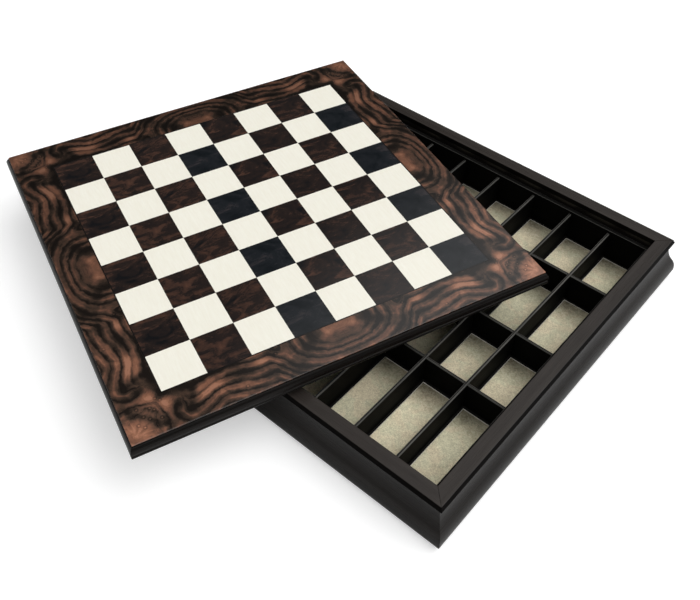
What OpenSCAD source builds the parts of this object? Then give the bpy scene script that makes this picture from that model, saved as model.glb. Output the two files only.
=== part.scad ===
// Chess box with a lift-off playing board.
// The board lies turned and shifted on the rim, so part of the tray shows.
// Origin at the middle of the underside: +X right, +Y back, +Z up, millimetres.

/* [Playing board] */
// Side of one square of the playing field
square_side = 40; // [30:1:45]
// Width of the burl border, measured from the field to the edge of the veneer
border_w = 38; // [24:1:40]
// Thickness of the board without its battens
board_t = 14.4; // [12:0.2:16]
// Thickness of the face veneers
veneer_t = 1; // [0.6:0.1:1.4]
// Thickness of the veneer under the board
backing_t = 1.2; // [0.6:0.1:1.6]
// Width of the black string line around the field
string_w = 1; // [0.6:0.1:2]
// Joint between neighbouring veneers
veneer_gap = 0.1; // [0.05:0.05:0.3]

/* [Board edge] */
// Width of the edge moulding that lies under the border veneer
moulding_w = 8; // [6:0.5:12]
// Distance that the moulding bulges past the veneer
moulding_flare = 3.2; // [2:0.1:4]
// Radius of the upper round of the moulding
ovolo_r = 9; // [8:0.5:11]
// Diameter of the bead along the lower edge
bead_d = 4.2; // [3:0.1:5]
// Height of the groove between the round and the bead
groove_h = 0.9; // [0.6:0.1:1.4]
// Depth of that groove
groove_depth = 1.4; // [0.8:0.1:2]

/* [Board battens] */
// Depth of the battens that centre the board in the box
batten_h = 8; // [5:0.5:11]
// Width of one batten
batten_w = 12; // [8:1:20]
// Play between the battens and the rim, on each side
batten_play = 1.3; // [0.5:0.1:3]
// Chamfer on the outer lower edge of a batten
batten_chamfer = 1; // [0.5:0.1:2]

/* [Board position] */
// Offset of the board's middle to the right of the box's middle
lid_x = -126; // [-130:1:0]
// Offset of the board's middle to the back of the box's middle
lid_y = -63; // [-70:1:0]
// Turn of the board on the rim, in degrees
lid_turn = 69; // [0:1:90]
// Air between the battens and the rim
lid_rest_gap = 0.1; // [0.05:0.05:0.5]

/* [Box frame] */
// Height of the box from the table to the rim
box_h = 50; // [48:1:54]
// Width of the opening between the rails
opening_w = 360.6; // [358:0.2:364]
// Width of the flat rim on top of the rails
rim_w = 14.6; // [12:0.1:18]
// Height of the lip around the rim
lip_h = 5; // [3:0.2:6]
// Radius of the lip's two outer edges
lip_r = 1.2; // [0.6:0.1:2]
// Distance from the lip back to the top of the cove
lip_step = 1.8; // [1:0.1:3]
// Height of the straight quirk under the lip
quirk_h = 4; // [2:0.5:5]
// Radius of the hollow upper half of the cove
cove_r = 35; // [33:0.5:36]
// Radius of the round lower half
bulge_r = 28; // [27:0.5:32]
// Sweep of each half, in degrees
cove_sweep = 32; // [31:0.5:33]

/* [Tray] */
// Thickness of the baize under the box
baize_t = 1; // [0.6:0.1:1.2]
// Thickness of the bottom panel
panel_t = 2.5; // [2:0.1:4]
// Thickness of the liner boards
liner_t = 4.3; // [3:0.1:6]
// Distance from the rim down to the top of the liner
liner_drop = 11.6; // [11.2:0.2:14]
// Thickness of the dividers
divider_t = 3; // [2:0.2:4]
// Distance from the rim down to the top of the dividers
divider_drop = 15; // [14:0.5:20]
// Distance between the cross dividers
column_pitch = 45; // [43:0.5:45]
// Play in the halved joints between dividers
lap_play = 0.1; // [0.05:0.05:0.3]
// Places of the three long dividers, measured towards the back
long_places = [-75, 2, 99];

/* [Pads] */
// Thickness of the pads
pad_t = 1.5; // [1:0.1:3]
// Gap between a pad's long sides and the dividers
pad_side_gap = 2.2; // [1:0.1:4]
// Gap between a pad's ends and the dividers
pad_end_gap = 3; // [1:0.1:6]

/* [Hidden] */
$fn = 96;
field = 8 * square_side;
board_half = field / 2 + border_w;
core_half = board_half - moulding_w;
core_top = board_t - veneer_t;
moulding_half = board_half + moulding_flare;
opening_half = opening_w / 2;
lip_half = opening_half + rim_w;
cove_half = lip_half - lip_step;
tray_half = opening_half - liner_t;
batten_half = opening_half - batten_play;
panel_top = baize_t + panel_t;
liner_h = box_h - liner_drop - panel_top;
divider_h = box_h - divider_drop - panel_top;
lid_z = box_h + lid_rest_gap + batten_h;
cove_top = box_h - lip_h - quirk_h;
cove_end = cove_half + cove_r * (1 - cos(cove_sweep));
cove_low = cove_top - cove_r * sin(cove_sweep);
bulge_half = cove_end + bulge_r * (1 - cos(cove_sweep));
foot_r = cove_low - bulge_r * sin(cove_sweep);
row_edges = concat([-tray_half], long_places, [tray_half]);
column_edges = concat([-tray_half], [for (i = [-3:3]) i * column_pitch], [tray_half]);
past = 1;

black = [0.07, 0.06, 0.055];
espresso = [0.14, 0.11, 0.09];
ivory = [0.93, 0.91, 0.84];
brown_burl = [0.25, 0.13, 0.08];
black_burl = [0.10, 0.09, 0.10];
orange_burl = [0.48, 0.27, 0.15];
suede = [0.68, 0.65, 0.56];
baize_green = [0.12, 0.20, 0.14];

BACK = 0;
LEFT = 90;
FRONT = 180;
RIGHT = 270;

// Moves what is drawn around the board's middle, above its underside, into place.
module on_board() {
    translate([lid_x, lid_y, lid_z]) rotate([0, 0, lid_turn]) children();
}

// One side of a square frame with mitred ends. The outline is drawn with x outward from
// the frame's middle and y up.
module mitred_side(side, reach, low, high) {
    rotate([0, 0, side])
    intersection() {
        translate([-reach, 0, 0]) rotate([90, 0, 90]) linear_extrude(2 * reach) children();
        translate([0, 0, low - past]) linear_extrude(high - low + 2 * past)
            polygon([[0, 0], [reach, reach], [-reach, reach]]);
    }
}

// ---- Box frame ----

// Square with its two outer corners rounded.
module lip_outline() {
    translate([opening_half, box_h - lip_h]) square([rim_w - lip_r, lip_h]);
    translate([opening_half, box_h - lip_h + lip_r]) square([rim_w, lip_h - 2 * lip_r]);
    for (y = [box_h - lip_h + lip_r, box_h - lip_r]) {
        translate([lip_half - lip_r, y]) circle(r = lip_r);
    }
}

// Cove that is hollow above and round below, and turns under into the foot.
module cove_outline() {
    wall = cove_half - past;
    translate([opening_half, 0]) square([wall - opening_half, box_h - lip_h]);
    translate([wall, cove_top]) square([past, quirk_h]);
    difference() {
        translate([wall, cove_low]) square([cove_end - wall + past, cove_top - cove_low]);
        translate([cove_half + cove_r, cove_top]) circle(r = cove_r);
    }
    intersection() {
        translate([wall, foot_r]) square([bulge_half - wall + past, cove_low - foot_r]);
        translate([bulge_half - bulge_r, foot_r]) circle(r = bulge_r);
    }
    translate([wall, 0]) square([bulge_half - foot_r - wall, foot_r]);
    intersection() {
        translate([bulge_half - foot_r, 0]) square([foot_r, foot_r]);
        translate([bulge_half - foot_r, foot_r]) circle(r = foot_r);
    }
}

module frame_rail(side) {
    color(espresso)
    mitred_side(side, bulge_half + past, 0, box_h) {
        lip_outline();
        cove_outline();
    }
}

module frame_rail_front() { frame_rail(FRONT); }
module frame_rail_right() { frame_rail(RIGHT); }
module frame_rail_back() { frame_rail(BACK); }
module frame_rail_left() { frame_rail(LEFT); }

// ---- Tray ----

module liner(side) {
    color(black)
    mitred_side(side, opening_half, panel_top, panel_top + liner_h)
        translate([tray_half, panel_top]) square([liner_t, liner_h]);
}

module liner_front() { liner(FRONT); }
module liner_right() { liner(RIGHT); }
module liner_back() { liner(BACK); }
module liner_left() { liner(LEFT); }

module bottom_panel() {
    color(black)
    translate([-opening_half, -opening_half, baize_t]) cube([opening_w, opening_w, panel_t]);
}

module base_baize() {
    color(baize_green)
    translate([-opening_half, -opening_half, 0]) cube([opening_w, opening_w, baize_t]);
}

// Strip across the tray along X, with a rounded top edge.
module strip() {
    translate([-tray_half, 0, panel_top]) rotate([90, 0, 90]) linear_extrude(2 * tray_half) {
        translate([-divider_t / 2, 0]) square([divider_t, divider_h - divider_t / 2]);
        translate([0, divider_h - divider_t / 2]) circle(d = divider_t);
    }
}

// Notches that reach half the height of the strip, from its foot or from its top edge.
module notches(places, low) {
    slot = divider_t + lap_play;
    for (place = places) {
        translate([place - slot / 2, -divider_t, panel_top + low])
            cube([slot, 2 * divider_t, divider_h / 2 + past]);
    }
}

// The long dividers are cut from the top, and the cross dividers from below.
module long_divider(index) {
    color(black)
    translate([0, long_places[index], 0])
    difference() {
        strip();
        notches([for (i = [-3:3]) i * column_pitch], (divider_h - lap_play) / 2);
    }
}

module cross_divider(index) {
    color(black)
    translate([(index - 3) * column_pitch, 0, 0]) rotate([0, 0, 90])
    difference() {
        strip();
        notches(long_places, -past);
    }
}

module long_divider_1() { long_divider(0); }
module long_divider_2() { long_divider(1); }
module long_divider_3() { long_divider(2); }
module cross_divider_1() { cross_divider(0); }
module cross_divider_2() { cross_divider(1); }
module cross_divider_3() { cross_divider(2); }
module cross_divider_4() { cross_divider(3); }
module cross_divider_5() { cross_divider(4); }
module cross_divider_6() { cross_divider(5); }
module cross_divider_7() { cross_divider(6); }

// Room between two edges of the grid, less half a divider on each side that has one.
function cell_low(edges, i) = edges[i] + (i == 0 ? 0 : divider_t / 2);
function cell_high(edges, i) = edges[i + 1] - (i == len(edges) - 2 ? 0 : divider_t / 2);

module pads_row(row) {
    front = cell_low(row_edges, row) + pad_end_gap;
    back = cell_high(row_edges, row) - pad_end_gap;
    color(suede)
    for (column = [0:7]) {
        left = cell_low(column_edges, column) + pad_side_gap;
        right = cell_high(column_edges, column) - pad_side_gap;
        translate([left, front, panel_top]) cube([right - left, back - front, pad_t]);
    }
}

module pads_row_1() { pads_row(0); }
module pads_row_2() { pads_row(1); }
module pads_row_3() { pads_row(2); }
module pads_row_4() { pads_row(3); }

// ---- Playing board ----

module board_core() {
    color(black)
    on_board() translate([-core_half, -core_half, backing_t])
        cube([2 * core_half, 2 * core_half, core_top - backing_t]);
}

module board_backing() {
    color(black)
    on_board() translate([-core_half, -core_half, 0])
        cube([2 * core_half, 2 * core_half, backing_t]);
}

// Thin fillet, a round, a groove and a bead, from top to bottom.
module moulding_outline() {
    wall = board_half - groove_depth;
    round_low = bead_d + groove_h;
    round_mid = round_low + groove_h;
    translate([core_half, 0]) square([wall - core_half, core_top]);
    translate([wall, core_top - groove_h]) square([groove_depth, groove_h]);
    intersection() {
        translate([wall, round_low])
            square([moulding_flare + groove_depth, core_top - groove_h - round_low]);
        translate([moulding_half - ovolo_r, round_mid]) circle(r = ovolo_r);
    }
    translate([wall, 0]) square([moulding_half - bead_d / 2 - wall, bead_d]);
    translate([moulding_half - bead_d / 2, bead_d / 2]) circle(d = bead_d);
}

module edge_moulding(side) {
    color(espresso)
    on_board() mitred_side(side, moulding_half + past, 0, core_top) moulding_outline();
}

module edge_moulding_front() { edge_moulding(FRONT); }
module edge_moulding_right() { edge_moulding(RIGHT); }
module edge_moulding_back() { edge_moulding(BACK); }
module edge_moulding_left() { edge_moulding(LEFT); }

module batten(side) {
    inner = batten_half - batten_w;
    color(espresso)
    on_board() mitred_side(side, batten_half + past, -batten_h, 0)
        polygon([
            [inner, 0],
            [batten_half, 0],
            [batten_half, batten_chamfer - batten_h],
            [batten_half - batten_chamfer, -batten_h],
            [inner, -batten_h]
        ]);
}

module batten_front() { batten(FRONT); }
module batten_right() { batten(RIGHT); }
module batten_back() { batten(BACK); }
module batten_left() { batten(LEFT); }

// Half of one side of the border, from the middle of the side to the mitre.
module border_piece(side, mirrored) {
    inner = field / 2 + string_w + veneer_gap;
    mitre = veneer_gap / sqrt(2);
    color(orange_burl)
    on_board() rotate([0, 0, side]) mirror([mirrored ? 1 : 0, 0, 0])
        translate([0, 0, core_top]) linear_extrude(veneer_t)
            polygon([
                [veneer_gap / 2, inner],
                [inner - mitre, inner],
                [board_half - mitre, board_half],
                [veneer_gap / 2, board_half]
            ]);
}

module border_front_left() { border_piece(FRONT, false); }
module border_front_right() { border_piece(FRONT, true); }
module border_right_front() { border_piece(RIGHT, false); }
module border_right_back() { border_piece(RIGHT, true); }
module border_back_right() { border_piece(BACK, false); }
module border_back_left() { border_piece(BACK, true); }
module border_left_back() { border_piece(LEFT, false); }
module border_left_front() { border_piece(LEFT, true); }

module string_lines() {
    outer = field / 2 + string_w;
    color(black)
    on_board() for (side = [BACK, LEFT, FRONT, RIGHT]) {
        mitred_side(side, outer + past, core_top, board_t)
            translate([field / 2, core_top]) square([string_w, veneer_t]);
    }
}

module tile(column, row) {
    translate([
        (column - 4) * square_side + veneer_gap / 2,
        (row - 4) * square_side + veneer_gap / 2,
        core_top
    ])
        cube([square_side - veneer_gap, square_side - veneer_gap, veneer_t]);
}

// The near right and near left corners differ: the left one is light.
module light_squares() {
    color(ivory)
    on_board() for (column = [0:7], row = [column % 2:2:7]) tile(column, row);
}

function is_black_column(column) = column % 4 == 3;

module brown_squares() {
    color(brown_burl)
    on_board() for (column = [0:7], row = [1 - column % 2:2:7])
        if (!is_black_column(column)) tile(column, row);
}

module black_squares() {
    color(black_burl)
    on_board() for (column = [3, 7], row = [0:2:7]) tile(column, row);
}

frame_rail_front();
frame_rail_right();
frame_rail_back();
frame_rail_left();
liner_front();
liner_right();
liner_back();
liner_left();
bottom_panel();
base_baize();
long_divider_1();
long_divider_2();
long_divider_3();
cross_divider_1();
cross_divider_2();
cross_divider_3();
cross_divider_4();
cross_divider_5();
cross_divider_6();
cross_divider_7();
pads_row_1();
pads_row_2();
pads_row_3();
pads_row_4();
board_core();
board_backing();
edge_moulding_front();
edge_moulding_right();
edge_moulding_back();
edge_moulding_left();
batten_front();
batten_right();
batten_back();
batten_left();
border_front_left();
border_front_right();
border_right_front();
border_right_back();
border_back_right();
border_back_left();
border_left_back();
border_left_front();
string_lines();
light_squares();
brown_squares();
black_squares();
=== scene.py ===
"""Looks of a chess box: its veneered playing board lies turned on the open, padded tray."""

import math

import bmesh
import bpy
from mathutils import Matrix, Vector, noise


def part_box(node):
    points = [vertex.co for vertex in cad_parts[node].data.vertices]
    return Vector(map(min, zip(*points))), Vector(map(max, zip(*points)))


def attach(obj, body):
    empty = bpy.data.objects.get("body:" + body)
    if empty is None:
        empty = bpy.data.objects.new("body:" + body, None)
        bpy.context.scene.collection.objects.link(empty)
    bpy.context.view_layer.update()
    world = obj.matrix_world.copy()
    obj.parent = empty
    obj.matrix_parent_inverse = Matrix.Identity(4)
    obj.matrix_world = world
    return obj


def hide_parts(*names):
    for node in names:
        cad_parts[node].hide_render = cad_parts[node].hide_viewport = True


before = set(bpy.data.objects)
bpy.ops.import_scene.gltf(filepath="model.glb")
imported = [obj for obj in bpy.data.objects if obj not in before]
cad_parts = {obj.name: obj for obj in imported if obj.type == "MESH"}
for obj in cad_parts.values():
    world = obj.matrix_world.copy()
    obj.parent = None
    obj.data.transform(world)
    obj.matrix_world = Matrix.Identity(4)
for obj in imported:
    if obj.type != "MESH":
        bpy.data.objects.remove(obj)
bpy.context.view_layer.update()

MM = 0.001
SIDES = {"back": 0, "left": 90, "front": 180, "right": 270}

# ---- Sizes and places, from the frame ----

rim_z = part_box("frame_rail_front")[1].z
foot_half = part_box("frame_rail_front")[1].x
opening_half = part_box("bottom_panel")[1].x


def middle(node):
    low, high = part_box(node)
    return (low + high) / 2


def turn_of(node):
    """Turn about Z of a square block, from 0 to 90 degrees, from its lowest corner's two edges."""
    points = sorted({(round(v.co.x, 6), round(v.co.y, 6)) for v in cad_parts[node].data.vertices})
    left = points[0]
    lowest = min(points, key=lambda p: p[1])
    return math.atan2(lowest[1] - left[1], lowest[0] - left[0]) + math.pi / 2


board_turn = turn_of("board_core")
board_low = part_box("board_backing")[0].z
board_place = Matrix.Translation((middle("board_core").x, middle("board_core").y, board_low))
BOARD = board_place @ Matrix.Rotation(board_turn, 4, "Z")


def board_box(*nodes):
    """Lowest and highest corner of some nodes, in the board's own turned frame."""
    inverse = BOARD.inverted()
    points = [inverse @ v.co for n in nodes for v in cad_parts[n].data.vertices]
    low = Vector(min(p[i] for p in points) for i in range(3))
    high = Vector(max(p[i] for p in points) for i in range(3))
    return low, high


veneer_low, veneer_high = board_box("border_front_left", "border_back_right")
board_half = veneer_high.y
field_half = board_box("light_squares")[1].x
square_side = field_half / 4
string_half = board_box("string_lines")[1].x
core_half = board_box("board_core")[1].x
moulding_half = board_box("edge_moulding_back")[1].y


# ---- Shader building ----


class Shade:
    """A material with a Principled shader, and short names for the nodes that feed it."""

    def __init__(self, name, **constants):
        self.material = bpy.data.materials.new(name)
        self.material.use_nodes = True
        self.tree = self.material.node_tree
        self.tree.nodes.clear()
        self.shader = self.add("ShaderNodeBsdfPrincipled")
        output = self.add("ShaderNodeOutputMaterial")
        self.tree.links.new(self.shader.outputs[0], output.inputs["Surface"])
        for key, value in constants.items():
            self.shader.inputs[key.replace("_", " ")].default_value = value

    def add(self, kind, inputs=None, **settings):
        node = self.tree.nodes.new(kind)
        for key, value in settings.items():
            setattr(node, key, value)
        for key, value in (inputs or {}).items():
            self.feed(node.inputs[key], value)
        return node

    def feed(self, socket, value):
        if isinstance(value, bpy.types.NodeSocket):
            self.tree.links.new(value, socket)
        else:
            socket.default_value = value

    def give(self, **inputs):
        for key, value in inputs.items():
            self.feed(self.shader.inputs[key.replace("_", " ")], value)

    def math(self, operation, *values):
        node = self.add("ShaderNodeMath", operation=operation)
        for socket, value in zip(node.inputs, values):
            self.feed(socket, value)
        return node.outputs[0]

    def sum(self, *values):
        total = values[0]
        for value in values[1:]:
            total = self.math("ADD", total, value)
        return total

    def times(self, a, b):
        return self.math("MULTIPLY", a, b)

    def minus(self, a, b):
        return self.math("SUBTRACT", a, b)

    def vector(self, x, y, z=0.0):
        return self.add("ShaderNodeCombineXYZ", {"X": x, "Y": y, "Z": z}).outputs[0]

    def split(self, vector):
        return self.add("ShaderNodeSeparateXYZ", {"Vector": vector}).outputs

    def remap(self, value, low, high, to_low=0.0, to_high=1.0):
        """Goes smoothly from to_low to to_high as the value goes from low to high, and stays there."""
        node = self.add("ShaderNodeMapRange", interpolation_type="SMOOTHSTEP")
        for socket, given in zip(node.inputs, (value, low, high, to_low, to_high)):
            self.feed(socket, given)
        return node.outputs[0]

    def blend(self, share, a, b):
        """A number that goes from a to b as share goes from 0 to 1."""
        node = self.add("ShaderNodeMix", {"Factor": share}, data_type="FLOAT")
        self.feed(node.inputs["A"], a)
        self.feed(node.inputs["B"], b)
        return node.outputs[0]

    def tint(self, share, a, b, kind="MIX"):
        """A colour that goes from a to b as share goes from 0 to 1."""
        node = self.add("ShaderNodeMix", data_type="RGBA", blend_type=kind)
        factor, first, second = node.inputs[0], node.inputs[6], node.inputs[7]
        self.feed(factor, share)
        self.feed(first, a)
        self.feed(second, b)
        return node.outputs[2]

    def darken(self, colour, tone):
        """The colour multiplied by a number."""
        return self.tint(1.0, colour, self.vector(tone, tone, tone), "MULTIPLY")

    def sway(self, value, amount):
        """A noise value, which goes from 0 to 1, turned into a swing of this amount about 0."""
        return self.times(self.minus(value, 0.5), amount)

    def facing_up(self):
        """1 where the surface faces straight up, 0 on its sides and -1 below."""
        return self.split(self.add("ShaderNodeNewGeometry").outputs["Normal"])[2]

    def ramp(self, share, stops):
        node = self.add("ShaderNodeValToRGB", {"Fac": share})
        elements = node.color_ramp.elements
        while len(elements) < len(stops):
            elements.new(0.5)
        for element, (place, colour) in zip(elements, stops):
            element.position = place
            element.color = (*colour, 1)
        return node.outputs["Color"]

    def curve(self, value, points):
        node = self.add("ShaderNodeFloatCurve", {"Value": value})
        line = node.mapping.curves[0]
        while len(line.points) < len(points):
            line.points.new(0.5, 0.5)
        for point, place in zip(line.points, points):
            point.location = place
        node.mapping.update()
        return node.outputs[0]

    def noise(self, vector, scale=1.0, detail=2.0, rough=0.5, distortion=0.0, colour=False):
        inputs = {"Vector": vector, "Scale": scale, "Detail": detail, "Roughness": rough}
        node = self.add("ShaderNodeTexNoise", {**inputs, "Distortion": distortion})
        return node.outputs["Color" if colour else "Fac"]

    def bump(self, height, distance, strength):
        node = self.add("ShaderNodeBump", {"Height": height, "Distance": distance, "Strength": strength})
        return node.outputs[0]

    def place(self, matrix=None):
        """Object coordinates in millimetres, in the row frame or in a turned and shifted one."""
        where = self.add("ShaderNodeTexCoord").outputs["Object"]
        matrix = matrix or Matrix.Identity(4)
        node = self.add(
            "ShaderNodeMapping",
            {
                "Vector": where,
                "Location": matrix.to_translation(),
                "Rotation": matrix.to_euler(),
                "Scale": (MM, MM, MM),
            },
            vector_type="TEXTURE",
        )
        return node.outputs[0]


# ---- Materials ----

# Colours from dark to light.
FRAME_STAIN = [(0.005, 0.004, 0.0035), (0.010, 0.0085, 0.0075)]
TRAY_STAIN = [(0.0013, 0.0013, 0.0012), (0.0026, 0.0025, 0.0023)]
EDGE_STAIN = [(0.004, 0.0035, 0.003), (0.010, 0.008, 0.007)]
BACKING = [(0.014, 0.010, 0.008), (0.045, 0.030, 0.022)]
STRING = [(0.006, 0.005, 0.005), (0.012, 0.011, 0.010)]
IVORY = [(0.87, 0.84, 0.73), (0.91, 0.89, 0.79)]
BROWN_BURL = [(0.007, 0.007, 0.008), (0.022, 0.0145, 0.0125), (0.085, 0.041, 0.028)]
BLACK_BURL = [(0.006, 0.008, 0.010), (0.013, 0.015, 0.018), (0.035, 0.030, 0.032)]
BORDER_BURL = [
    (0.0, (0.0075, 0.0055, 0.0045)), (0.28, (0.021, 0.014, 0.0105)), (0.42, (0.039, 0.024, 0.017)),
    (0.6, (0.076, 0.038, 0.026)), (0.88, (0.163, 0.074, 0.045)), (1.0, (0.22, 0.105, 0.066)),
]
COOL_SUEDE = [(0.42, 0.40, 0.26), (0.66, 0.62, 0.43), (0.89, 0.85, 0.63)]
WARM_SUEDE = [(0.46, 0.39, 0.26), (0.71, 0.62, 0.43), (0.93, 0.85, 0.63)]
# The colour of the painted shade towards each pad's far corner, and the pale colour of its edges.
SUEDE_PAINTED_SHADE = (0.07, 0.06, 0.035, 1)
SUEDE_EDGE = (0.86, 0.83, 0.74, 1)
BAIZE = [(0.008, 0.008, 0.009), (0.022, 0.021, 0.022)]
CORE = [(0.18, 0.11, 0.06), (0.28, 0.19, 0.11)]
FLOOR_GREY = 0.72
FLOOR_GLOW = 0.42

# A clear, glossy coat; the stain below it doesn't shine.
LACQUER = {"Specular_IOR_Level": 0.0, "Coat_Weight": 1.0, "Coat_Roughness": 0.1, "Coat_IOR": 1.5}


def folded(shade):
    """The board's coordinates folded on its eight lines of symmetry, as book-matched leaves are:
    the way along the side from its middle, and the way in from the outer edge."""
    x, y, _ = shade.split(shade.place(BOARD))
    across, up = shade.math("ABSOLUTE", x), shade.math("ABSOLUTE", y)
    along = shade.math("MINIMUM", across, up)
    inward = shade.minus(board_half / MM, shade.math("MAXIMUM", across, up))
    return along, inward


# Where the border's burl has a dark pool or a light one, in one folded leaf: the place along and
# inward, the half length, half width and turn, and how much darker or lighter it is there.
BURL_POOLS = [
    ((8, 33), (13, 6), 0, 0.4), ((33, 23), (8, 5), 40, -0.5), ((25, 33), (5, 7), 0, -0.5),
    ((49, 6), (11, 7), 50, -0.45), ((64, 33), (5, 6), 0, -0.4), ((75, 28), (8, 4), 0, 0.35),
    ((72, 13), (8, 4), 10, -0.3), ((95, 26), (13, 4), 5, -0.5), ((120, 25), (15, 6), -10, 0.5),
    ((97, 10), (5, 4), 0, 0.2), ((143, 12), (7, 4), -10, -0.45), ((151, 21), (5, 4), 0, -0.45),
    ((137, 26), (3, 11), 25, -0.25), ((141, 34), (6, 5), 60, -0.5), ((112, 37), (16, 4), 0, -0.5),
    ((154, 37), (14, 4), 0, -0.4), ((161, 26), (9, 6), 0, 0.35), ((165, 6), (5, 3), 40, -0.4),
    ((174, 12), (8, 3), 60, -0.4), ((189, 6), (14, 8), 0, 0.45), ((171, 22), (3, 2), 0, -0.25),
]
# Where the burl has a pip: a pale dot in a dark ring.
BURL_PIPS = [(96, 10), (171, 24), (177, 17), (168, 14), (183, 11), (164, 31), (62, 30)]
PIP_RADIUS = 1.3
# The parts of a leaf, in millimetres along it from the middle of the side: an eye of rings gives way
# to wavy bands, then to a curl, then to a knotty corner.
EYE_TO_BANDS = (52, 60)
BANDS_TO_CURL = (142, 151)
CURL_TO_KNOTS = (158, 178)
# The eye's middle lies this far in from the edge, and its rings have these half widths.
EYE_INWARD = 36
EYE_HALVES = (47, 31)
# The eye's outline is between an ellipse and a rectangle; 2 would be an ellipse.
EYE_POWER = 2.5
# The height over the eye, in tens, by half of eye_reach; each whole step of height is a dark line.
EYE_LEVELS = [(0, 0.85), (0.3, 0.6), (0.5, 0.4), (0.64, 0.3), (0.72, 0.2)]
# By the way along in shares of LEAF_SPAN: how far in the first band runs, as a share of the scale
# less a setback, and how far apart the bands are.
LEAF_SPAN = 200
BAND_COURSE = [
    (0.2, 0.1), (0.275, 0.33), (0.3, 0.46), (0.325, 0.58), (0.35, 0.66), (0.4, 0.66), (0.45, 0.69),
    (0.5, 0.75), (0.575, 0.78), (0.635, 0.7), (0.7, 0.61), (0.75, 0.6),
]
BAND_COURSE_SCALE = (50, 20)
BAND_SPREAD = [(0.3, 0.52), (0.4, 0.47), (0.5, 0.5), (0.575, 0.43), (0.65, 0.5), (0.75, 0.6)]
BAND_SPREAD_SCALE = 20
CURL_PLACE = (143, 13)
CURL_RADIUS = 13.5
# A patch without lines, as in BURL_POOLS, and where the lines fade towards the corner.
QUIET_PATCH = ((147, 31), (9, 11), 0)
LINES_FADE = (158, 172)
# Painted light and shade: the leaf is lighter at the front of the board and on its right, where
# the light falls brightest, and darker at its back. It is also lighter in its corners.
BACK_TO_FRONT = (190, -190)
BACK_PAINTED_SHADE, FRONT_PAINTED_LIGHT = 0.82, 1.45
TO_RIGHT = (60, 190)
RIGHT_PAINTED_LIGHT = 1.15
TO_CORNER = (160, 175)
CORNER_TONE = 1.2


def distance(shade, along, inward, place):
    """How far a point of the leaf is from a place in it."""
    du, dv = shade.minus(along, place[0]), shade.minus(inward, place[1])
    return shade.math("SQRT", shade.sum(shade.math("POWER", du, 2), shade.math("POWER", dv, 2)))


def eye_reach(s, a, b):
    """1 on the outline of the eye, less inside it."""
    out = s.math("POWER", s.times(a, 1 / EYE_HALVES[0]), EYE_POWER)
    across = s.math("ABSOLUTE", s.times(s.minus(EYE_INWARD, b), 1 / EYE_HALVES[1]))
    return s.math("POWER", s.sum(out, s.math("POWER", across, EYE_POWER)), 1 / EYE_POWER)


def burl_level(s, flat, a, b, ring):
    """A height over the leaf whose contours are the burl's lines."""
    eye = s.times(s.curve(s.times(ring, 0.5), EYE_LEVELS), 10)
    stretch = s.times(a, 1 / LEAF_SPAN)
    scale, back = BAND_COURSE_SCALE
    course = s.minus(s.times(s.curve(stretch, BAND_COURSE), scale), back)
    spread = s.times(s.curve(stretch, BAND_SPREAD), BAND_SPREAD_SCALE)
    bands = s.sum(s.math("DIVIDE", s.minus(b, course), spread), 1)
    curl = s.minus(1, s.times(distance(s, a, b, CURL_PLACE), 1 / CURL_RADIUS))
    knots = s.times(s.noise(flat, 0.075, 2.0, 0.5, 0.5), 3)
    level = s.blend(s.remap(a, *EYE_TO_BANDS), eye, bands)
    level = s.blend(s.remap(a, *BANDS_TO_CURL), level, curl)
    return s.blend(s.remap(a, *CURL_TO_KNOTS), level, knots)


def burl_lines(s, flat, a, level, ring):
    """Narrow dark lines with finer ones between them, fainter inside the eye and in the corner."""
    wave = s.math("COSINE", s.times(level, 2 * math.pi))
    crest = s.math("POWER", s.sum(s.times(wave, 0.5), 0.5), 1.8)
    finer = s.times(s.math("COSINE", s.sum(s.times(level, 6 * math.pi), 1.0)), -0.12)
    lines = s.sum(s.times(crest, -0.92), 0.36, finer)
    lines = s.times(lines, s.remap(s.noise(flat, 0.08, 1.0), 0.3, 0.7, 0.35, 0.75))
    lines = s.times(lines, s.remap(ring, 0.45, 0.85, 0.15, 1.0))
    return s.times(lines, s.remap(a, *LINES_FADE, 1.0, 0.35))


def pip(s, along, inward, place, value):
    """The value with a dark ring and a pale dot at one place."""
    near = distance(s, along, inward, place)
    inner = s.remap(near, 0.3 * PIP_RADIUS, PIP_RADIUS)
    outer = s.remap(near, PIP_RADIUS, 2 * PIP_RADIUS, 1.0, 0.0)
    light = s.remap(near, 0.0, 0.7 * PIP_RADIUS, 0.16, 0.0)
    return s.sum(s.math("MULTIPLY_ADD", s.times(inner, outer), -0.22, value), light)


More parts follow.
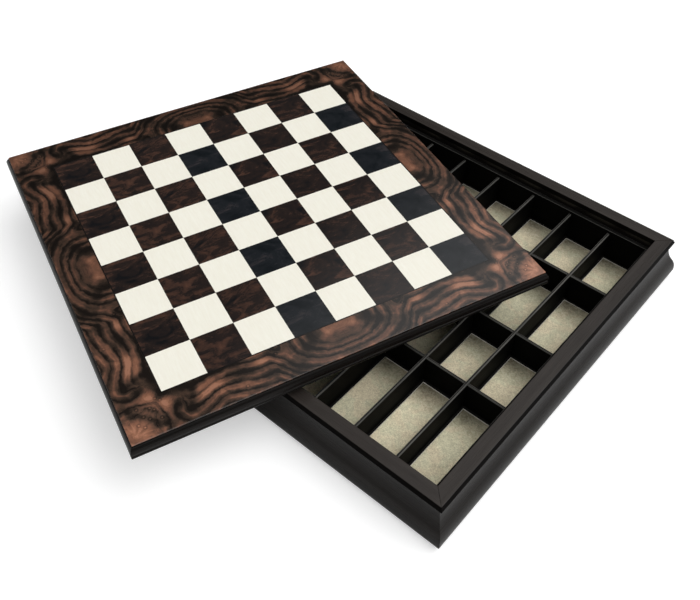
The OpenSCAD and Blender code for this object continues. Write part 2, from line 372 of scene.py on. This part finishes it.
def burl_border():
    """Burl with soft dark contour lines: rings round an eye in the middle of each side, then wavy
    bands, a curl before the corner, and a knotty patch in the corner."""
    s = Shade("burl_border", Roughness=0.45, **LACQUER)
    along, inward = folded(s)
    flat = s.vector(along, inward)
    wide = s.split(s.noise(flat, 0.045, 1.0, 0.5, colour=True))
    fine = s.split(s.noise(flat, 0.2, 2.0, 0.55, colour=True))
    a = s.sum(along, s.sway(wide[0], 4), s.sway(fine[0], 3.5))
    b = s.sum(inward, s.sway(wide[1], 3), s.sway(fine[1], 3))
    ring = eye_reach(s, a, b)
    level = burl_level(s, flat, a, b, ring)
    lines = s.times(burl_lines(s, flat, a, level, ring), s.minus(1, pool(s, a, b, *QUIET_PATCH)))
    value = s.sum(lines, 0.43)
    for place, size, angle, depth in BURL_POOLS:
        value = s.math("MULTIPLY_ADD", pool(s, a, b, place, size, angle), depth, value)
    for place in BURL_PIPS:
        value = pip(s, along, inward, place, value)
    cloud = s.noise(flat, 0.11, 3.0, 0.6, 0.5)
    fibre = s.noise(s.vector(s.times(level, 9), s.times(along, 0.12)), 1.0, 3.0, 0.65)
    leaf = s.noise(s.place(BOARD), 0.05, 3.0, 0.6)
    speck = s.noise(s.place(BOARD), 0.9, 2.0, 0.6)
    value = s.sum(value, s.sway(cloud, 0.8), s.sway(fibre, 0.4), s.sway(leaf, 0.3), s.sway(speck, 0.15))
    # Painted light and shade across the board: lighter at its front and right, darker at its back.
    x, y, _ = s.split(s.place(BOARD))
    tone = s.remap(y, *BACK_TO_FRONT, BACK_PAINTED_SHADE, FRONT_PAINTED_LIGHT)
    tone = s.times(tone, s.remap(x, *TO_RIGHT, 1.0, RIGHT_PAINTED_LIGHT))
    tone = s.times(tone, s.remap(a, *TO_CORNER, 1.0, CORNER_TONE))
    s.give(Base_Color=s.darken(s.ramp(value, BORDER_BURL), tone))
    return s.material


def pool(shade, along, inward, place, size, angle):
    """A soft oval spot, 1 in its middle, in the folded leaf."""
    turn = math.radians(angle)
    du, dv = shade.minus(along, place[0]), shade.minus(inward, place[1])
    p = shade.sum(shade.times(du, math.cos(turn) / size[0]), shade.times(dv, math.sin(turn) / size[0]))
    q = shade.sum(shade.times(dv, math.cos(turn) / size[1]), shade.times(du, -math.sin(turn) / size[1]))
    reach = shade.math("ADD", shade.times(p, p), shade.times(q, q))
    return shade.math("EXPONENT", shade.times(reach, -0.7))


def squares(name, colours, centre):
    """Mottled burl, with the same leaf repeated down each column of squares."""
    s = Shade(name, Roughness=0.45, **LACQUER)
    x, y, _ = s.split(s.place(BOARD))
    side = square_side / MM
    column = s.math("FLOOR", s.times(x, 1 / side))
    u = s.times(s.math("FRACT", s.times(x, 1 / side)), side)
    v = s.times(s.math("FRACT", s.times(y, 1 / (2 * side))), 2 * side)
    leaf = s.vector(s.times(u, 0.55), v, s.times(column, 31.7))
    cloud = s.noise(leaf, 0.07, 4.0, 0.6, 1.2)
    speck = s.noise(leaf, 0.5, 3.0, 0.6, 0.6)
    value = s.sum(s.sway(cloud, 2.4), s.sway(speck, 0.6), centre)
    s.give(Base_Color=s.ramp(value, list(zip((0.0, 0.5, 1.0), colours))))
    return s.material


def ivory():
    s = Shade("ivory_veneer", Roughness=0.45, **LACQUER)
    x, y, _ = s.split(s.place(BOARD))
    grain = s.noise(s.vector(s.times(x, 0.6), s.times(y, 0.08), 3.0), 0.9, 4.0, 0.6, 0.3)
    s.give(Base_Color=s.ramp(grain, list(zip((0.3, 0.7), IVORY))))
    return s.material


def string_black():
    s = Shade("string_black", Roughness=0.4, **LACQUER)
    s.give(Base_Color=s.ramp(s.noise(s.place(BOARD), 0.8), list(zip((0.3, 0.7), STRING))))
    return s.material


def stained_wood(
    name, axis, colours, rough=0.3, place=None, gloss=0.17, top_tone=1.0, edge_tone=1.0, band_low=None
):
    """Stained wood with a fine straight grain along X or Y of its frame. Where it faces up it is
    lighter by a painted sheen, and along its upper edges by a painted highlight; two arguments
    set how much. Its sides above band_low are darker and left dull."""
    s = Shade(name, Specular_IOR_Level=gloss)
    x, y, z = s.split(s.place(place))
    if axis == "x":
        where = s.vector(s.times(x, 0.02), y, z)
    else:
        where = s.vector(x, s.times(y, 0.02), z)
    grain = s.noise(where, 1.4, 5.0, 0.65, 0.2)
    broad = s.noise(where, 0.12, 2.0, 0.5)
    share = s.sum(s.times(grain, 0.6), s.times(broad, 0.4))
    facing = s.facing_up()
    # Painted highlight along the upper edges, and painted sheen where the surface faces up.
    tone = s.blend(s.remap(facing, 0.1, 0.35), 1.0, edge_tone)
    tone = s.blend(s.remap(facing, 0.93, 0.99), tone, top_tone)
    # Darker and nearly without gloss on the sides above band_low.
    if band_low is not None:
        above = s.remap(z, band_low / MM - 0.3, band_low / MM)
        band = s.times(above, s.remap(facing, 0.7, 0.9, 1.0, 0.0))
        tone = s.blend(band, tone, 0.35)
        s.give(Specular_IOR_Level=s.blend(band, gloss, 0.02))
    s.give(
        Base_Color=s.darken(s.ramp(share, list(zip((0.38, 0.62), colours))), tone),
        Roughness=s.remap(grain, 0.3, 0.7, rough + 0.06, rough - 0.06),
        Normal=s.bump(grain, 0.05 * MM, 0.5),
    )
    return s.material


def suede(first_x, pitch, far_ends):
    """Short-napped cloth: a fine grainy nap in patches that lie warmer or cooler, a painted shade
    that deepens towards each pad's far left corner, where the walls shade it, and pale edges. It
    takes the low X of one compartment's pad, the distance to the next, and the high Y of each
    row of pads."""
    s = Shade("suede_pads", Roughness=0.95, Sheen_Weight=0.25, Sheen_Roughness=0.5)
    where = s.place()
    patch = s.noise(where, 0.05, 3.0, 0.55, 0.8)
    brushed = s.noise(where, 0.3, 3.0, 0.6, 1.0)
    nap = s.noise(where, 1.1, 4.0, 0.75, 0.6)
    share = s.sum(s.times(brushed, 0.3), s.times(nap, 0.7))
    cool, warm = (s.ramp(share, list(zip((0.36, 0.5, 0.64), c))) for c in (COOL_SUEDE, WARM_SUEDE))
    colour = s.tint(s.remap(patch, 0.4, 0.62), cool, warm)
    x, y, _ = s.split(where)
    column = s.math("FRACT", s.times(s.minus(x, first_x / MM), MM / pitch))
    # Painted shade: darker towards each row's far end and each pad's low X side, where the walls shade the
    # pad.
    shade, rim = 0.0, 0.0
    for far in (end / MM for end in far_ends):
        here = s.remap(y, far, far + 1, 1.0, 0.0)
        shade = s.sum(shade, s.times(s.remap(y, far - 34, far - 2), here))
        rim = s.sum(rim, s.times(s.remap(y, far - 1.4, far - 0.9), here))
    shade = s.times(shade, s.remap(column, 0.1, 1.0, 1.0, 0.35))
    # Mix in the painted shade, patchy with the brushed nap.
    colour = s.tint(s.times(shade, s.remap(brushed, 0.35, 0.6, 1.0, 0.85)), colour, SUEDE_PAINTED_SHADE)
    # A pale line along each pad's far edge, and paler where the pad's side rolls over.
    colour = s.tint(s.times(rim, 0.8), colour, SUEDE_EDGE)
    colour = s.tint(s.remap(s.facing_up(), 0.8, 0.985, 0.9, 0.0), colour, SUEDE_EDGE)
    s.give(Base_Color=colour, Normal=s.bump(nap, 0.35 * MM, 0.8))
    return s.material


def felt(name, colours):
    s = Shade(name, Roughness=0.97, Sheen_Weight=0.3, Sheen_Roughness=0.6)
    where = s.place()
    fuzz = s.noise(where, 3.0, 4.0, 0.75)
    patch = s.noise(where, 0.05, 2.0, 0.5)
    share = s.sum(s.times(fuzz, 0.7), s.times(patch, 0.3))
    colour = s.ramp(share, list(zip((0.35, 0.65), colours)))
    s.give(Base_Color=colour, Normal=s.bump(fuzz, 0.3 * MM, 0.7))
    return s.material


def floor_material():
    """A pale floor that glows a little, for the camera only, so that it comes out white."""
    s = Shade("studio_floor", Roughness=0.9)
    s.give(Base_Color=(FLOOR_GREY, FLOOR_GREY, FLOOR_GREY, 1), Emission_Color=(1, 1, 1, 1))
    s.give(Emission_Strength=s.times(s.add("ShaderNodeLightPath").outputs["Is Camera Ray"], FLOOR_GLOW))
    return s.material


# ---- Mesh building ----


def arc(centre_u, centre_z, radius, start, end, steps):
    """Points of an arc in an outline, each (outward, height), by angles in degrees."""
    angles = [math.radians(start + (end - start) * i / steps) for i in range(steps + 1)]
    return [(centre_u + radius * math.cos(t), centre_z + radius * math.sin(t)) for t in angles]


def eased(corner, before, after, radius, steps=4):
    """The points that round one corner of an outline."""
    corner, before, after = Vector(corner), Vector(before), Vector(after)
    back, on = (before - corner).normalized(), (after - corner).normalized()
    half = back.angle(on) / 2
    reach = radius / math.tan(half)
    centre = corner + (back + on).normalized() * radius / math.sin(half)
    first, last = corner + back * reach - centre, corner + on * reach - centre
    sweep = first.angle_signed(last)
    turned = [Matrix.Rotation(-sweep * i / steps, 2) @ first for i in range(steps + 1)]
    return [tuple(centre + p) for p in turned]


def ease_corners(corners):
    """An outline from (outward, height, radius) corners; a radius of 0 keeps the point as it is."""
    points = []
    for i, (u, z, radius) in enumerate(corners):
        if radius:
            before, after = corners[i - 1][:2], corners[(i + 1) % len(corners)][:2]
            points += eased((u, z), before, after, radius)
        else:
            points.append((u, z))
    return points


def shrink(outline, distance):
    """The outline moved inward along its own normals."""
    count = len(outline)
    area = sum(outline[i - 1][0] * outline[i][1] - outline[i][0] * outline[i - 1][1] for i in range(count))
    moved = []
    for i, point in enumerate(outline):
        before, here, after = Vector(outline[i - 1]), Vector(point), Vector(outline[(i + 1) % count])
        edges = (here - before).normalized() + (after - here).normalized()
        inward = Vector((-edges.y, edges.x)).normalized() * math.copysign(1, area)
        moved.append(tuple(here + inward * distance))
    return moved


def mitred_bar(outline, side, place=None, seam=0.2 * MM, cut=None, mirrored=False):
    """One side of a square frame, mitred at both ends, or cut square near the middle of the side.
    Each end is eased by the seam width, so that a joint shows as a hairline."""
    small = shrink(outline, seam)
    if cut is None:
        near = [(small, lambda u: -u), (outline, lambda u: seam - u)]
    else:
        near = [(small, lambda u: cut), (outline, lambda u: cut + seam)]
    rings = near + [(outline, lambda u: u - seam), (small, lambda u: u)]
    turn = Matrix.Rotation(math.radians(SIDES[side]), 4, "Z")
    world = (place or Matrix.Identity(4)) @ turn
    flip = -1 if mirrored else 1
    mesh = bmesh.new()
    loops = []
    for points, along in rings:
        loops.append([mesh.verts.new(world @ Vector((flip * along(u), u, z))) for u, z in points])
    count = len(outline)
    for one, two in zip(loops, loops[1:]):
        for i in range(count):
            mesh.faces.new((one[i - 1], one[i], two[i], two[i - 1]))
    mesh.faces.new(loops[0])
    mesh.faces.new(loops[-1])
    bmesh.ops.recalc_face_normals(mesh, faces=mesh.faces)
    return mesh


EDGE_STEPS = 5
# How high a pad's side stands before its edge rolls over, as a share of its thickness.
SIDE_SHARE = 0.35
RIPPLES_PER_METRE = 45


def grid_stops(low, high, edge, step):
    """Places along one way of a pad: close together near both edges, and even between them."""
    near = [edge * (1 - math.cos(math.pi / 2 * i / EDGE_STEPS)) for i in range(EDGE_STEPS + 1)]
    count = max(2, round((high - low - 2 * edge) / step))
    inner = [low + edge + (high - low - 2 * edge) * i / count for i in range(1, count)]
    return [low + d for d in near] + inner + [high - d for d in reversed(near)]


def soft_plate(low, high, edge, wave=0.0, step=4 * MM, seed=0.0):
    """A flat pad between two corners, with a rolled edge and a faint unevenness on top."""
    xs, ys = grid_stops(low.x, high.x, edge, step), grid_stops(low.y, high.y, edge, step)
    thick = high.z - low.z
    mesh = bmesh.new()

    def height(x, y):
        near = min(x - low.x, high.x - x, y - low.y, high.y - y)
        share = min(1.0, max(0.0, near / edge))
        roll = math.sqrt(max(0.0, 1 - (1 - share) ** 2))
        ripple = noise.noise(Vector((x * RIPPLES_PER_METRE, y * RIPPLES_PER_METRE, seed))) * wave * share
        return low.z + thick * (SIDE_SHARE + (1 - SIDE_SHARE) * roll) + ripple

    tops = [[mesh.verts.new((x, y, height(x, y))) for y in ys] for x in xs]
    feet = [[mesh.verts.new((x, y, low.z)) for y in ys] for x in xs]
    for i in range(len(xs) - 1):
        for j in range(len(ys) - 1):
            mesh.faces.new((tops[i][j], tops[i + 1][j], tops[i + 1][j + 1], tops[i][j + 1]))
            mesh.faces.new((feet[i][j + 1], feet[i + 1][j + 1], feet[i + 1][j], feet[i][j]))
    last_x, last_y = len(xs) - 1, len(ys) - 1
    for i in range(last_x):
        mesh.faces.new((tops[i + 1][0], tops[i][0], feet[i][0], feet[i + 1][0]))
        mesh.faces.new((tops[i][last_y], tops[i + 1][last_y], feet[i + 1][last_y], feet[i][last_y]))
    for j in range(last_y):
        mesh.faces.new((tops[0][j], tops[0][j + 1], feet[0][j + 1], feet[0][j]))
        mesh.faces.new((tops[last_x][j + 1], tops[last_x][j], feet[last_x][j], feet[last_x][j + 1]))
    return mesh


SHARP_ANGLE = math.radians(35)


def piece(name, mesh, material, body, nodes):
    """Makes an object of a bmesh that stands for some CAD nodes."""
    data = bpy.data.meshes.new(name)
    mesh.to_mesh(data)
    mesh.free()
    data.materials.append(material)
    data.polygons.foreach_set("use_smooth", [True] * len(data.polygons))
    data.set_sharp_from_angle(angle=SHARP_ANGLE)
    made = bpy.data.objects.new(name, data)
    bpy.context.scene.collection.objects.link(made)
    made.modifiers.new("weighted_normals", "WEIGHTED_NORMAL").keep_sharp = True
    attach(made, body)
    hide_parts(*nodes)
    return made


def finish_node(node, material, ease=None):
    """Gives a CAD node its material, and eases its edges by a small bevel."""
    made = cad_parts[node]
    made.data.materials.clear()
    made.data.materials.append(material)
    if ease:
        weld = made.modifiers.new("weld", "WELD")
        weld.merge_threshold = 0.005 * MM
        bevel = made.modifiers.new("ease", "BEVEL")
        bevel.width = ease
        bevel.segments = 3
        bevel.angle_limit = math.radians(40)
        made.modifiers.new("weighted_normals", "WEIGHTED_NORMAL")
    for polygon in made.data.polygons:
        polygon.use_smooth = bool(ease)


# ---- Outlines ----

# The box's rim and side.
LIP_W = 14.6 * MM
LIP_R = 0.8 * MM
LIP_H = 4.4 * MM
LIP_SLANT = 2.2 * MM
LIP_GROOVE = 0.8 * MM
COVE_STEP = 1.8 * MM
COVE_DROP = 9 * MM
COVE_R = 35 * MM
BULGE_R = 28 * MM
SWEEP = 32
# The board's edge.
MOULDING_STEP = 1.4 * MM
GROOVE_H = 0.9 * MM
BEAD_R = 2.1 * MM
OVOLO_R = 9 * MM


def rail_outline():
    """A flat rim whose edge slants out to a fine groove, then a cove, hollow above and round below."""
    lip_half = opening_half + LIP_W
    cove_half = lip_half - COVE_STEP
    cove_top = rim_z - COVE_DROP
    foot_r = cove_top - (COVE_R + BULGE_R) * math.sin(math.radians(SWEEP))
    lip_low = rim_z - LIP_H
    groove_u = cove_half - LIP_GROOVE
    cove = arc(foot_half - foot_r, foot_r, foot_r, -90, 0, 12)
    cove += arc(foot_half - BULGE_R, foot_r, BULGE_R, 0, SWEEP, 14)[1:]
    cove += arc(cove_half + COVE_R, cove_top, COVE_R, 180 + SWEEP, 180, 16)[1:]
    corners = [(opening_half, 0, 0)] + [(u, z, 0) for u, z in cove]
    corners += [
        (cove_half, lip_low - LIP_GROOVE, 0.25 * MM),
        (groove_u, lip_low - LIP_GROOVE, 0),
        (groove_u, lip_low, 0),
        (lip_half + LIP_SLANT / 2, lip_low, 0.4 * MM),
        (lip_half - LIP_SLANT / 2, rim_z, LIP_R),
        (opening_half, rim_z, 0.5 * MM),
    ]
    return ease_corners(corners)


def moulding_outline():
    """A fillet, a round, a groove and a bead, from top to bottom."""
    top = veneer_low.z
    wall = board_half - MOULDING_STEP
    bead_top = 2 * BEAD_R
    round_low = bead_top + GROOVE_H
    round_mid = round_low + GROOVE_H
    round_high = top - GROOVE_H
    centre_u = moulding_half - OVOLO_R
    low = math.degrees(math.asin((round_low - round_mid) / OVOLO_R))
    high = math.degrees(math.asin((round_high - round_mid) / OVOLO_R))
    bead = arc(moulding_half - BEAD_R, BEAD_R, BEAD_R, -90, 90, 16)
    ovolo = arc(centre_u, round_mid, OVOLO_R, low, high, 16)
    corners = [(core_half, 0, 0)] + [(u, z, 0) for u, z in bead]
    corners += [(wall, bead_top, 0), (wall, round_low, 0)] + [(u, z, 0) for u, z in ovolo]
    corners += [(board_half, round_high, 0), (board_half, top, 0), (core_half, top, 0)]
    return ease_corners(corners)


def border_outline():
    """A veneer with a rounded outer edge, and a hairline gap to the string."""
    inner = string_half + 0.1 * MM
    return ease_corners([
        (inner, veneer_low.z, 0),
        (board_half, veneer_low.z, 0),
        (board_half, veneer_high.z, 0.45 * MM),
        (inner, veneer_high.z, 0.05 * MM),
    ])


# ---- Build ----


def grain_axis(side):
    return "x" if side in ("front", "back") else "y"


def woods_by_axis(name, colours, **settings):
    """The same stained wood with its grain along X and along Y."""
    return {axis: stained_wood(f"{name}_{axis}", axis, colours, **settings) for axis in "xy"}


def build_frame():
    band_low = rim_z - LIP_H - LIP_GROOVE
    # The rim's top gets a painted sheen and its upper edges a painted highlight.
    woods = woods_by_axis("frame_wood", FRAME_STAIN, top_tone=3.7, edge_tone=1.5, band_low=band_low)
    outline = rail_outline()
    for side in SIDES:
        bar = mitred_bar(outline, side)
        piece("rail_" + side, bar, woods[grain_axis(side)], "box", ["frame_rail_" + side])


def build_tray():
    # The tops of the liners and dividers get a painted sheen, and their upper edges a strong painted
    # highlight.
    woods = woods_by_axis("tray_black", TRAY_STAIN, rough=0.6, gloss=0.03, top_tone=5.0, edge_tone=40.0)
    for side in SIDES:
        finish_node("liner_" + side, woods[grain_axis(side)], 0.5 * MM)
    for i in range(1, 4):
        finish_node(f"long_divider_{i}", woods["x"], 0.15 * MM)
    for i in range(1, 8):
        finish_node(f"cross_divider_{i}", woods["y"], 0.15 * MM)
    finish_node("bottom_panel", woods["x"])
    cloth = soft_plate(*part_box("base_baize"), 0.6 * MM, step=20 * MM)
    under = piece("underside_baize", cloth, felt("baize", BAIZE), "box", ["base_baize"])


def pad_cells(row):
    """The lowest and highest corner of each pad in one CAD node, from its vertices."""
    points = [v.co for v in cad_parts[row].data.vertices]
    xs = sorted({round(p.x, 6) for p in points})
    low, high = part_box(row)
    return [(Vector((a, low.y, low.z)), Vector((b, high.y, high.z))) for a, b in zip(xs[::2], xs[1::2])]


def build_pads():
    rows = range(1, 5)
    # The first column is narrower than the others, so the even pitch starts at the second.
    _, (second, _), (third, _) = pad_cells("pads_row_1")[:3]
    cloth = suede(second.x, third.x - second.x, [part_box(f"pads_row_{row}")[1].y for row in rows])
    for row in rows:
        for column, (low, high) in enumerate(pad_cells(f"pads_row_{row}"), 1):
            name = f"pad_{row}_{column}"
            mesh = soft_plate(low, high, 1.6 * MM, 0.12 * MM, seed=row * 10.0 + column)
            made = piece(name, mesh, cloth, "box", [f"pads_row_{row}"])


def build_board():
    edge = woods_by_axis("edge_wood", EDGE_STAIN, rough=0.25, place=BOARD, gloss=0.15)
    burl = burl_border()
    moulding, border = moulding_outline(), border_outline()
    for side in SIDES:
        wood = edge[grain_axis(side)]
        bar = mitred_bar(moulding, side, BOARD)
        piece("moulding_" + side, bar, wood, "board_lid", ["edge_moulding_" + side])
        finish_node("batten_" + side, wood, 0.6 * MM)
    for name, side, mirrored in [
        ("front_left", "front", False), ("front_right", "front", True),
        ("right_front", "right", False), ("right_back", "right", True),
        ("back_right", "back", False), ("back_left", "back", True),
        ("left_back", "left", False), ("left_front", "left", True),
    ]:
        bar = mitred_bar(border, side, BOARD, 0.04 * MM, 0.02 * MM, mirrored)
        piece("veneer_" + name, bar, burl, "board_lid", ["border_" + name])
    finish_node("light_squares", ivory())
    finish_node("brown_squares", squares("brown_burl", BROWN_BURL, 0.4))
    finish_node("black_squares", squares("black_burl", BLACK_BURL, 0.35))
    finish_node("string_lines", string_black())
    finish_node("board_core", felt("core_board", CORE))
    finish_node("board_backing", stained_wood("backing_veneer", "x", BACKING, 0.4, BOARD))


def look_along(place, target, roll=0.0):
    """Rotation of a camera or light at place that looks at target."""
    aim = (Vector(target) - Vector(place)).to_track_quat("-Z", "Y")
    return (aim.to_matrix() @ Matrix.Rotation(roll, 3, "Z")).to_euler()


def soft_light(name, place, target, size, power):
    data = bpy.data.lights.new(name, "AREA")
    data.shape = "RECTANGLE"
    data.size, data.size_y = size
    data.energy = power
    made = bpy.data.objects.new(name, data)
    made.location = place
    made.rotation_euler = look_along(place, target)
    bpy.context.scene.collection.objects.link(made)


# The glossy board mirrors the studio behind the object, on its left and rather high, which is kept
# dark. Each light has the way to its middle, and the cosines of the angles from that way where it
# begins and where it is at its full glow.
DARK_WALL = Vector((-0.429, 0.511, 0.745)).normalized()
DARK_REACH = (0.45, 0.86)
KEY_LIGHT = Vector((0.45, 0.35, 0.82)).normalized()
KEY_REACH = (0.72, 0.95)
KEY_GLOW = 1.95
SOFT_LIGHT = Vector((-0.1, 0.52, 0.85)).normalized()
SOFT_REACH = (0.9, 0.99)
SOFT_GLOW = 1.2
# The dome brightens from near the horizon to well above it.
DOME_REACH = (0.1, 0.8)
DOME_GLOW = 0.93
DARK_GLOW = 0.03
# A weak lamp on the back right, and what it looks at.
LAMP_PLACE = (1.0, 0.6, 2.2)
LAMP_TARGET = (0.2, 0.1, 0)
LAMP_SIZE = (1.0, 1.0)
LAMP_POWER = 3


def studio_world():
    """A white dome with a dark side that the board mirrors, and a dark band along the horizon. The
    camera itself sees plain white."""
    world = bpy.data.worlds.new("studio")
    world.use_nodes = True
    tree = world.node_tree
    tree.nodes.clear()

    def add(kind, inputs, **settings):
        node = tree.nodes.new(kind)
        for key, value in settings.items():
            setattr(node, key, value)
        for key, value in inputs.items():
            if isinstance(value, bpy.types.NodeSocket):
                tree.links.new(value, node.inputs[key])
            else:
                node.inputs[key].default_value = value
        return node.outputs

    def combine(operation, a, b):
        return add("ShaderNodeMath", {0: a, 1: b}, operation=operation)[0]

    def rise(value, reach, top):
        inputs = {0: value, 1: reach[0], 2: reach[1], 3: 0.0, 4: top}
        return add("ShaderNodeMapRange", inputs, interpolation_type="SMOOTHSTEP")[0]

    def towards(way, middle):
        return add("ShaderNodeVectorMath", {0: way, 1: middle}, operation="DOT_PRODUCT")["Value"]

    way = add("ShaderNodeTexCoord", {})["Generated"]
    height = add("ShaderNodeSeparateXYZ", {0: way})["Z"]
    open_sky = combine("SUBTRACT", 1.0, rise(towards(way, DARK_WALL), DARK_REACH, 1.0))
    dome = combine("MULTIPLY", open_sky, rise(height, DOME_REACH, DOME_GLOW))
    glow = combine("ADD", dome, rise(towards(way, KEY_LIGHT), KEY_REACH, KEY_GLOW))
    glow = combine("ADD", glow, rise(towards(way, SOFT_LIGHT), SOFT_REACH, SOFT_GLOW))
    glow = combine("ADD", glow, DARK_GLOW)
    seen = add("ShaderNodeLightPath", {})["Is Camera Ray"]
    strength = add("ShaderNodeMix", {0: seen, 2: glow, 3: 1.0}, data_type="FLOAT")[0]
    sky = add("ShaderNodeBackground", {"Color": (1, 1, 1, 1), "Strength": strength})[0]
    add("ShaderNodeOutputWorld", {"Surface": sky})
    return world


FLOOR_HALF = 6


def build_studio():
    scene = bpy.context.scene
    mesh = bmesh.new()
    bmesh.ops.create_grid(mesh, x_segments=1, y_segments=1, size=FLOOR_HALF)
    data = bpy.data.meshes.new("studio_floor")
    mesh.to_mesh(data)
    mesh.free()
    data.materials.append(floor_material())
    floor = bpy.data.objects.new("studio_floor", data)
    scene.collection.objects.link(floor)
    scene.world = studio_world()
    soft_light("overhead", LAMP_PLACE, LAMP_TARGET, LAMP_SIZE, LAMP_POWER)
    scene.view_settings.view_transform = "Standard"
    scene.view_settings.look = "None"


# The camera stands over the front right corner of the box and looks down at it.
CAMERA_FROM_RIM = Vector((0.3385, -0.4778, 0.5819))
AIM_ON_RIM = Vector((0.0035, -0.0785, 0))
CAMERA_ROLL = math.radians(0.8)
CAMERA_LENS = 43.38


def build_camera():
    data = bpy.data.cameras.new("camera")
    data.lens = CAMERA_LENS
    data.sensor_width = 36
    made = bpy.data.objects.new("camera", data)
    rim = Vector((0, 0, rim_z))
    made.location = rim + CAMERA_FROM_RIM
    made.rotation_euler = look_along(rim + CAMERA_FROM_RIM, rim + AIM_ON_RIM, CAMERA_ROLL)
    bpy.context.scene.collection.objects.link(made)
    bpy.context.scene.camera = made


build_camera()
build_frame()
build_tray()
build_pads()
build_board()
build_studio()
